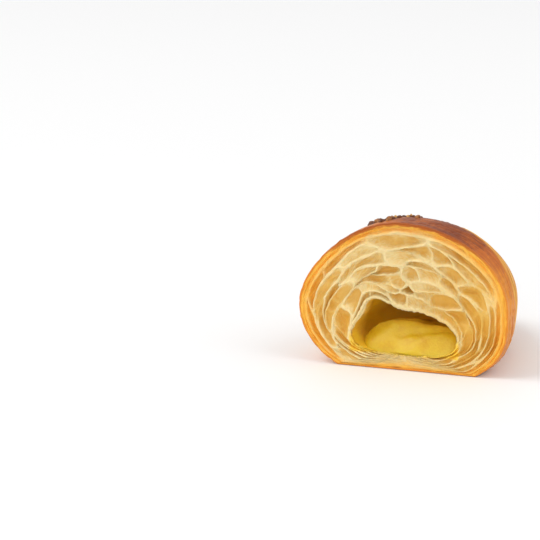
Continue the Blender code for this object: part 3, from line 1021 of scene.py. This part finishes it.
@dataclass
class Crumb:
    """The cut face with its open cells, and the wall of the hollow behind it."""

    columns: int = 640
    face_rows: int = 124
    hollow_rows: int = 26
    cells: Honeycomb = Honeycomb()
    slits: Honeycomb = Honeycomb(
        rings=1,
        cells_a_ring=19,
        jitter=0.30,
        missing=0.35,
        missing_at_sides=0.0,
        seed=23,
        start=0.900,
        end=0.955,
        half_wall=0.00022,
        deepest=0.0022,
        waver_along=0.0,
        waver_level=0.0,
    )
    tuck: float = 0.0004
    face_wave: float = 0.00040
    lip_wave: float = 0.0007
    layer_pitch: float = 0.00085
    layer_depth: float = 0.00030
    # Depth at which a cell reaches its full golden tone and painted shade.
    golden_and_shade_depth: float = 0.0026
    paler_on_top: float = 0.0048
    least_depth: float = 0.00001
    worn_edge: float = 0.0007
    stain_level: float = 0.0100
    stain_beside: float = 0.0045
    stain_uneven: float = 0.0040
    stain_bottom: float = 0.0052
    stain_margin: float = 0.0016
    fine_bumps: float = 0.0004
    wall_folds: float = 0.0010
    smooth_start: float = 0.003
    ragged_depth: float = 0.009
    wall_to_rim: float = 0.02
    finish: CrumbFinish = CrumbFinish()

    def ragged(self, angle: np.ndarray) -> np.ndarray:
        """How far the hollow's edge wanders outwards at an angle."""
        x, z = np.cos(angle), np.sin(angle)
        return self.lip_wave * (lumps(x * 4, 2.0, z * 4) + 0.7 * lumps(x * 12, 5.0, z * 12))

    def rim(self, crust: Crust, angles: np.ndarray) -> np.ndarray:
        """The line inside the crust's edge at which the cut face starts."""
        start = np.full_like(angles, crust.edge_radius)
        rim = ROLL.skin(start, angles, crust.relief(start, angles)["height"])
        rim[:, 1] = 0.0
        return rim - out_from_middle(rim) * self.tuck

    def build(self, crust: Crust) -> bpy.types.Object:
        """Make the cut face and the hollow's wall.

        Args:
            crust: The crust, whose edge the face meets.

        Returns:
            The crumb.
        """
        angles = turned(self.columns)
        rim = self.rim(crust, angles)
        inner = HOLLOW.wall(ROLL, np.zeros_like(angles), angles, self.ragged(angles))

        def face(share: np.ndarray, angle: np.ndarray) -> np.ndarray:
            """Points of the cut face between the hollow's edge and the crust."""
            ends = [
                np.stack([np.interp(angle, angles, line[:, i], period=FULL_TURN) for i in range(3)], -1)
                for line in (inner, rim)
            ]
            return ends[0] + (ends[1] - ends[0]) * share[..., None]

        share, angle = np.meshgrid(np.linspace(1.0, 0.0, self.face_rows), angles, indexing="ij")
        flat = face(share, angle)
        round_step = np.linalg.norm(np.roll(flat, -1, axis=1) - flat, axis=-1)
        width = np.broadcast_to(np.linalg.norm(rim - inner, axis=-1), share.shape)
        around = round_step * self.columns
        open_cells = self.cells.opened(share, angle, around, width, flat)
        slits = self.slits.opened(share, angle, around, width, flat)
        in_slits = share > self.slits.start
        moved = {label: np.where(in_slits, slits[label], open_cells[label]) for label in slits}
        to_rim = (1 - share) * width + self.tuck
        x, z = flat[..., 0], flat[..., 2]
        wander = 0.0005 * lumps(x * 110, 5.0, z * 110)
        layers = 0.5 + 0.5 * np.sin(FULL_TURN * (to_rim + wander) / self.layer_pitch)
        layers *= ease((to_rim - 0.0006) / 0.0008) * ease((share - self.cells.end) / 0.01)
        shape = face(moved["share"], moved["angle"])
        dip = self.face_wave * (0.5 + 0.6 * lumps(x * 75, 1.0, z * 75))
        dip = dip * ease((1 - share) / 0.05) + self.worn_edge * ease(1 - share / 0.025)
        depth = moved["depth"]
        shape[..., 1] = np.maximum(depth + self.layer_depth * layers + dip, self.least_depth)
        shape[0, :, 1] = crust.lip_depth * 0.7
        # Depth of full golden tone and painted shade, greater on top so that the top cells stay paler.
        golden_and_shade_depth = self.golden_and_shade_depth + self.paler_on_top * ease(np.sin(angle))
        wall, wall_look = self.hollow(angles)
        look = {
            "depth": np.clip(depth / golden_and_shade_depth, 0, 1),
            "to_rim": to_rim,
            "inside": np.zeros_like(share),
            "stain": self.stain(shape),
            "round_x": np.cos(angle),
            "round_z": np.sin(angle),
        }
        look = {label: np.concatenate((look[label], wall_look[label])) for label in look}
        return rolled_sheet("crumb", np.concatenate((shape, wall)), look, outward=False)

    def stain(self, points: np.ndarray) -> np.ndarray:
        """How much cream is smeared over the bread at each point."""
        x, y, z = np.moveaxis(points, -1, 0)
        off_middle = np.abs(x - HOLLOW.x)
        beside = ease((off_middle - 0.008) / 0.008) * (1 - ease((y - 0.004) / 0.006))
        level = self.stain_level + self.stain_beside * beside
        level = level + self.stain_uneven * lumps(x * 90, y * 60, 7.0)
        low = ease((level - z) / 0.0030)
        across = ease((HOLLOW.half_width + self.stain_margin - off_middle) / 0.0015)
        return low * across * ease((z - self.stain_bottom) / 0.0012)

    def hollow(self, angles: np.ndarray) -> tuple[np.ndarray, dict[str, np.ndarray]]:
        """The wall of the hollow, from its edge on the cut face to its far end.

        Args:
            angles: Angles round the hollow.

        Returns:
            Rows of points and the numbers that the material reads.
        """
        steps = np.linspace(0.0, 1.0, self.hollow_rows + 1)[1:]
        depths = HOLLOW.depth * np.sin(steps * math.pi / 2) ** 1.5
        depths[-1] = HOLLOW.depth
        depth, angle = np.meshgrid(depths, angles, indexing="ij")
        x, _, z = np.moveaxis(HOLLOW.wall(ROLL, depth, angle), -1, 0)
        fine = lumps(x * 190, depth * 190, z * 190)
        fold = lumps(x * 75, depth * 110, z * 75)
        proud = (self.fine_bumps * fine + self.wall_folds * fold) * ease(depth / self.smooth_start)
        proud = proud + self.ragged(angle) * (1 - ease(depth / self.ragged_depth))
        points = HOLLOW.wall(ROLL, depth, angle, proud * HOLLOW.size(depth))
        look = {
            # Painted shade: the hollow's wall takes the deeper, darker crumb colour further in, partly
            # covered by the oiled colour.
            "depth": 0.15 + 0.6 * ease(depth / 0.006),
            "to_rim": np.full_like(depth, self.wall_to_rim),
            "inside": ease((depth - 0.0006) / 0.0035) * (0.75 + 0.5 * fold),
            "stain": self.stain(points),
            "round_x": np.cos(angle),
            "round_z": np.sin(angle),
        }
        return points, look


@dataclass(frozen=True)
class CreamFinish:
    """Moist yellow pistachio cream, greener where it thins out at the wall."""

    light: Colour = (0.73, 0.480, 0.014)
    shade: Colour = (0.65, 0.355, 0.006)
    # pale is painted light on the cream's crest.
    pale: Colour = (0.84, 0.62, 0.070)
    green: Colour = (0.64, 0.47, 0.018)

    cloud_size: float = 0.005
    speck_size: float = 0.0009
    bump_depth: float = 0.00012

    def material(self) -> bpy.types.Material:
        """The cream's material."""
        mix = Recipe("pistachio_cream")
        crest, thin = mix.attributes("crest", "thin")
        clouds = mix.grain(self.cloud_size)
        specks = mix.grain(self.speck_size)
        toned = clouds + specks.swing(0.3)
        colour = mix.mixed(toned.between(0.40, 0.80), self.light, self.shade)
        # Painted light: the cream is paler towards its crest.
        colour = mix.mixed(crest * 0.55, colour, self.pale)
        colour = mix.mixed(thin * 0.45, colour, self.green)
        rough = 0.34 + clouds * 0.16
        constants = {
            "Subsurface Weight": 0.35,
            "Subsurface Radius": (1.0, 0.75, 0.2),
            "Subsurface Scale": 0.002,
            "Specular IOR Level": 0.5,
        }
        return mix.finish(colour, rough, specks + clouds, self.bump_depth, constants)


@dataclass
class Cream:
    """The filling that lies in the hollow and touches its wall."""

    columns: int = 280
    rows: int = 130
    row_power: float = 2.2
    front: float = 0.0009
    least_depth: float = 0.0006
    crest: float = 0.0177
    slope: float = 0.0090
    slope_power: float = 1.7
    fall: float = 0.25
    length: float = 0.041
    into_wall: float = 0.0007
    lip: float = 0.0014
    back: float = 0.35
    left_shoulder: float = 0.24
    right_shoulder: float = 0.56
    groove: float = 0.055
    groove_length: float = 0.016
    swell: float = 0.0016
    fold: float = 0.0013
    fold_width: float = 0.15
    # How far below the crest the painted light reaches.
    painted_light_height: float = 0.005
    thin_share: float = 0.16
    end_rows: int = 2
    finish: CreamFinish = CreamFinish()

    def build(self) -> bpy.types.Object:
        """Make the cream's mesh.

        Returns:
            The cream.
        """
        steps = np.linspace(0.0, 1.0, self.rows)
        depths = self.front + (self.length - self.front) * steps**self.row_power
        depth, angle = np.meshgrid(depths, turned(self.columns), indexing="ij")
        across, up = np.cos(angle), np.sin(angle)
        size = HOLLOW.size(depth)
        full = HOLLOW.half_width * size + self.into_wall
        below = HOLLOW.below * size + self.into_wall
        floor = HOLLOW.z - below
        into = np.clip((depth - self.front) / self.slope, 0.0, 1.0)
        front = 1 - (1 - into) ** self.slope_power
        back = self.back + (1 - self.back) * ease((self.length - depth) / self.slope)
        crest = self.crest - self.lip - self.fall * np.maximum(0.0, depth - self.front - self.slope)
        top = floor + self.lip + (crest - floor) * front * back
        shoulder = self.left_shoulder + (self.right_shoulder - self.left_shoulder) * ease((across + 1) / 2)
        side = np.minimum(HOLLOW.z, floor + shoulder * (top - floor))
        power = HOLLOW.lower_power
        half = full * (1 - ((HOLLOW.z - side) / below) ** power) ** (1 / power)
        groove = self.groove * (1 - ease((depth - 0.5 * self.groove_length) / self.groove_length))
        half = half * (1 - groove * ease(-across * 3))
        rise = np.maximum(0.0, up)
        upper = side + (top - side) * rise
        inside = np.maximum(0.0, 1 - np.abs(half * across / full) ** power)
        lower = HOLLOW.z - below * inside ** (1 / power)
        x = HOLLOW.x + ROLL.drift(depth) + half * across
        z = np.where(up >= 0, upper, lower)
        soft = lumps(x * 90, depth * 110, 2.0) + 0.5 * lumps(x * 230, depth * 260, 4.0)
        bend = 0.5 + 0.30 * across - 0.20 * lumps(x * 90, 3.0, 1.0)
        fold = bell((into - bend) / self.fold_width) * ease(0.8 + 1.6 * lumps(x * 75, 8.0, 4.0))
        z = z + (self.swell * (soft - 0.25) - self.fold * fold) * rise * front
        y = depth + self.swell * lumps(x * 100, 6.0, z * 100) * (1 - ease(into * 1.4))
        points = np.stack((x, np.maximum(y, self.least_depth), z), axis=-1)
        at_front = 1 - ease(into / self.thin_share)
        look = {
            # crest: painted light that grows towards the top of the cream.
            "crest": np.clip(1 - (self.crest - z) / self.painted_light_height, 0, 1) * (up > 0),
            "thin": np.clip(np.abs(across) ** 6 + 0.8 * at_front, 0, 1),
        }
        ends = []
        for row in (points[:1], points[-1:]):
            middle = row.mean(axis=1, keepdims=True) + np.zeros_like(row)
            ends.append((middle, (row + middle) / 2))
        grid = np.concatenate((*ends[0], points, *ends[1][::-1]))
        extra = ((self.end_rows, self.end_rows), (0, 0))
        look = {label: np.pad(numbers, extra, "edge") for label, numbers in look.items()}
        return rolled_sheet("cream", grid, look, outward=True)


@dataclass(frozen=True)
class NutFinish:
    """Roasted, glazed nut pieces of one shade."""

    name: str
    dark: Colour
    light: Colour
    mottle_size: float = 0.0012
    pit_size: float = 0.0005
    pit_depth: float = 0.00010

    def material(self) -> bpy.types.Material:
        """The nuts' material."""
        mix = Recipe(self.name)
        mottle = mix.grain(self.mottle_size)
        colour = mix.mixed(mottle.between(0.35, 0.65), self.dark, self.light)
        rough = 0.38 + mottle * 0.2
        pits = mix.grain(self.pit_size, 2.0)
        return mix.finish(colour, rough, pits, self.pit_depth, {"Specular IOR Level": 0.35})


@dataclass
class Nuts:
    """Chopped nuts along the ridge, in three shades."""

    strewing: Strewing = Strewing()
    size: float = 0.00145
    sizes: tuple[float, float] = (0.75, 1.2)
    spacing: float = 0.0026
    seed: int = 5
    tries: int = 1700
    bit_share: float = 0.55
    bit_spacing: float = 0.0017
    bit_seed: int = 15
    sink: float = 0.25
    step_along: float = 0.001
    step_around: float = 0.03
    shape_seeds: tuple[int, ...] = (40, 41, 42, 43)
    shade_seed: int = 105
    cuts: int = 3
    cut_depths: tuple[float, float] = (0.55, 0.8)
    unevenness: float = 0.22
    rounding: float = 0.12
    stretch: tuple[float, float, float] = (1.25, 1.0, 0.8)
    kinds: tuple[tuple[NutFinish, float], ...] = (
        (NutFinish("nuts_dark", (0.075, 0.021, 0.007), (0.19, 0.060, 0.018)), 0.54),
        (NutFinish("nuts_brown", (0.20, 0.065, 0.017), (0.42, 0.17, 0.045)), 0.31),
        (NutFinish("nuts_tan", (0.50, 0.23, 0.055), (0.72, 0.42, 0.13)), 0.15),
    )

    def skin_point(self, along: float, angle: float) -> Vector:
        """The solid's own surface at a place of the crust."""
        return Vector(ROLL.skin(np.array([along]), np.array([angle]))[0])

    def places(
        self, seed: int, scale: float, spacing: float
    ) -> list[tuple[Vector, Vector, float, list[float]]]:
        """Strew pieces over the crust.

        Args:
            seed: Where the draw starts.
            scale: Their size as a share of a nut's.
            spacing: How near two of them may lie.

        Returns:
            The middle, the way out of the crust, the size and the turns of each that stays.
        """
        draw = random.Random(seed)
        placed = []
        for _ in range(self.tries):
            along = draw.uniform(self.strewing.first, self.strewing.last)
            angle = draw.uniform(*self.strewing.sides)
            chance = draw.random()
            size = self.size * draw.uniform(*self.sizes)
            turns = [draw.uniform(0, FULL_TURN) for _ in range(2)]
            if chance > self.strewing.density(np.array([along]), np.array([angle]))[0]:
                continue
            here = self.skin_point(along, angle)
            if any((here - other[0]).length < spacing for other in placed):
                continue
            beside = self.skin_point(along + self.step_along, angle) - here
            around = self.skin_point(along, angle + self.step_around) - here
            placed.append((here, around.cross(beside).normalized(), size * scale, turns))
        return placed

    def chopped(self, name: str, seed: int) -> bpy.types.Object:
        """One chopped piece of nut, about 1 across each way from its middle.

        Args:
            name: The object's name.
            seed: Which piece.

        Returns:
            The piece, at the origin.
        """
        draw = random.Random(seed)
        deselect()
        bpy.ops.mesh.primitive_ico_sphere_add(subdivisions=3, radius=1.0)
        piece = bpy.context.object
        piece.name = name
        bpy.ops.object.mode_set(mode="EDIT")
        for _ in range(self.cuts):
            way = Vector([draw.uniform(-1, 1) for _ in range(3)]).normalized()
            start = way * draw.uniform(*self.cut_depths)
            bpy.ops.mesh.select_all(action="SELECT")
            bpy.ops.mesh.bisect(plane_co=start, plane_no=way, use_fill=True, clear_outer=True)
        bpy.ops.object.mode_set(mode="OBJECT")
        for vertex in piece.data.vertices:
            lump = noise.noise(vertex.co * 1.4 + Vector((seed * 3.1, 0, 0)))
            vertex.co *= 1 + self.unevenness * lump
        rounding = piece.modifiers.new("rounded", "BEVEL")
        rounding.width = self.rounding
        rounding.segments = 2
        rounding.limit_method = "ANGLE"
        bpy.ops.object.modifier_apply(modifier=rounding.name)
        bpy.ops.object.shade_smooth()
        return piece

    def build(self) -> list[tuple[bpy.types.Object, NutFinish]]:
        """Make the nuts.

        Returns:
            One joined piece for each shade.
        """
        seeds = enumerate(self.shape_seeds)
        shapes = [self.chopped(f"nut_shape_{number}", seed) for number, seed in seeds]
        draw = random.Random(self.shade_seed)
        names = [kind.name for kind, _ in self.kinds]
        weights = [weight for _, weight in self.kinds]
        heaps: dict[str, list[bpy.types.Object]] = {name: [] for name in names}
        nuts = self.places(self.seed, 1.0, self.spacing)
        bits = self.places(self.bit_seed, self.bit_share, self.bit_spacing)
        for here, outward, size, turns in nuts + bits:
            shape = draw.choice(shapes)
            copy = shape.copy()
            copy.data = shape.data.copy()
            bpy.context.scene.collection.objects.link(copy)
            stretch = Matrix.Diagonal((*(size * share for share in self.stretch), 1.0))
            turn = Matrix.Rotation(turns[0], 4, "X") @ Matrix.Rotation(turns[1], 4, "Y")
            place = Matrix.Translation(here + outward * size * self.sink + PLACE)
            copy.data.transform(place @ turn @ stretch)
            heaps[draw.choices(names, weights)[0]].append(copy)
        for shape in shapes:
            bpy.data.objects.remove(shape, do_unlink=True)
        made = []
        for kind, _ in self.kinds:
            deselect()
            heap = heaps[kind.name]
            for copy in heap:
                copy.select_set(True)
            bpy.context.view_layer.objects.active = heap[0]
            bpy.ops.object.join()
            heap[0].name = kind.name
            made.append((heap[0], kind))
        return made


@dataclass(frozen=True)
class SoftLight:
    """A square light, with its side in metres and its power in watts."""

    name: str
    place: tuple[float, float, float]
    side: float
    power: float

    def add(self, aim: Vector) -> None:
        """Put the light in the scene, turned to the place that it aims at."""
        data = bpy.data.lights.new(self.name, "AREA")
        data.shape = "SQUARE"
        data.size = self.side
        data.energy = self.power
        light = bpy.data.objects.new(self.name, data)
        light.location = self.place
        light.rotation_mode = "QUATERNION"
        light.rotation_quaternion = (aim - Vector(self.place)).to_track_quat("-Z", "Y")
        bpy.context.scene.collection.objects.link(light)


@dataclass
class Studio:
    """A pale floor, soft light and a long lens at the height of a low table shot."""

    azimuth: float = math.radians(18.5)
    elevation: float = math.radians(16.5)
    lens: float = 150.0
    sensor: float = 36.0
    frame_width: float = 0.2117
    frame_pixels: float = 540.0
    half_x: float = 401.7
    half_y: float = 370.0
    clip: tuple[float, float] = (0.05, 20.0)
    floor_colour: Colour = (0.95, 0.95, 0.95)
    floor_size: float = 6.0
    floor_drop: float = 0.0002
    room_light: float = 0.68
    aim_height: float = 0.03
    lights: tuple[SoftLight, ...] = (
        SoftLight("key", (-2.40, -1.20, 3.60), 2.60, 72.0),
        SoftLight("front_fill", (0.60, -4.60, 1.30), 2.40, 44.0),
        SoftLight("side_fill", (2.60, -0.40, 2.40), 2.40, 28.0),
    )

    def camera(self) -> None:
        """Make the camera and aim it so that the half lies where it should in the frame."""
        back = Vector(
            (
                math.sin(self.azimuth) * math.cos(self.elevation),
                -math.cos(self.azimuth) * math.cos(self.elevation),
                math.sin(self.elevation),
            )
        )
        distance = self.frame_width * self.lens / self.sensor
        data = bpy.data.cameras.new("camera")
        data.lens = self.lens
        data.sensor_width = self.sensor
        data.clip_start, data.clip_end = self.clip
        camera = bpy.data.objects.new("camera", data)
        bpy.context.scene.collection.objects.link(camera)
        look = (-back).to_track_quat("-Z", "Y")
        across = (self.half_x / self.frame_pixels - 0.5) * self.sensor / self.lens
        down = (self.half_y / self.frame_pixels - 0.5) * self.sensor / self.lens
        aim = Matrix.Rotation(math.atan(across), 4, "Y") @ Matrix.Rotation(math.atan(down), 4, "X")
        camera.rotation_mode = "QUATERNION"
        camera.rotation_quaternion = look @ aim.to_quaternion()
        camera.location = PLACE + back * distance
        bpy.context.scene.camera = camera

    def floor(self) -> None:
        """Make the floor that the half stands on."""
        deselect()
        bpy.ops.mesh.primitive_plane_add(size=self.floor_size, location=(0, 0, -self.floor_drop))
        floor = bpy.context.object
        floor.name = "floor"
        look = {"Base Color": (*self.floor_colour, 1.0), "Roughness": 0.6}
        floor.data.materials.append(Recipe("floor").plain(look))

    def build(self) -> None:
        """Set up the floor, the light and the camera."""
        scene = bpy.context.scene
        scene.view_settings.view_transform = "Standard"
        world = bpy.data.worlds.new("pale_room")
        world.use_nodes = True
        background = world.node_tree.nodes["Background"].inputs
        background["Color"].default_value = (1.0, 1.0, 1.0, 1.0)
        background["Strength"].default_value = self.room_light
        scene.world = world
        for light in self.lights:
            light.add(Vector((0.0, 0.0, self.aim_height)))
        self.floor()
        self.camera()


def main() -> None:
    """Build the half piece by piece."""
    logging.basicConfig(level=logging.INFO, format="%(name)s %(message)s")
    crust_maker = Crust()
    crust = crust_maker.build()
    settle(crust, Slot.CRUST, crust_maker.finish.material())
    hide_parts("croissant")
    crumb_maker = Crumb()
    crumb = crumb_maker.build(crust_maker)
    settle(crumb, Slot.CRUMB, crumb_maker.finish.material())
    cream_maker = Cream()
    cream = cream_maker.build()
    settle(cream, Slot.CREAM, cream_maker.finish.material())
    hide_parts("pistachio_filling")
    for nuts, kind in Nuts().build():
        settle(nuts, Slot.NUTS, kind.material())
    Studio().build()


if __name__ == "__main__":
    main()
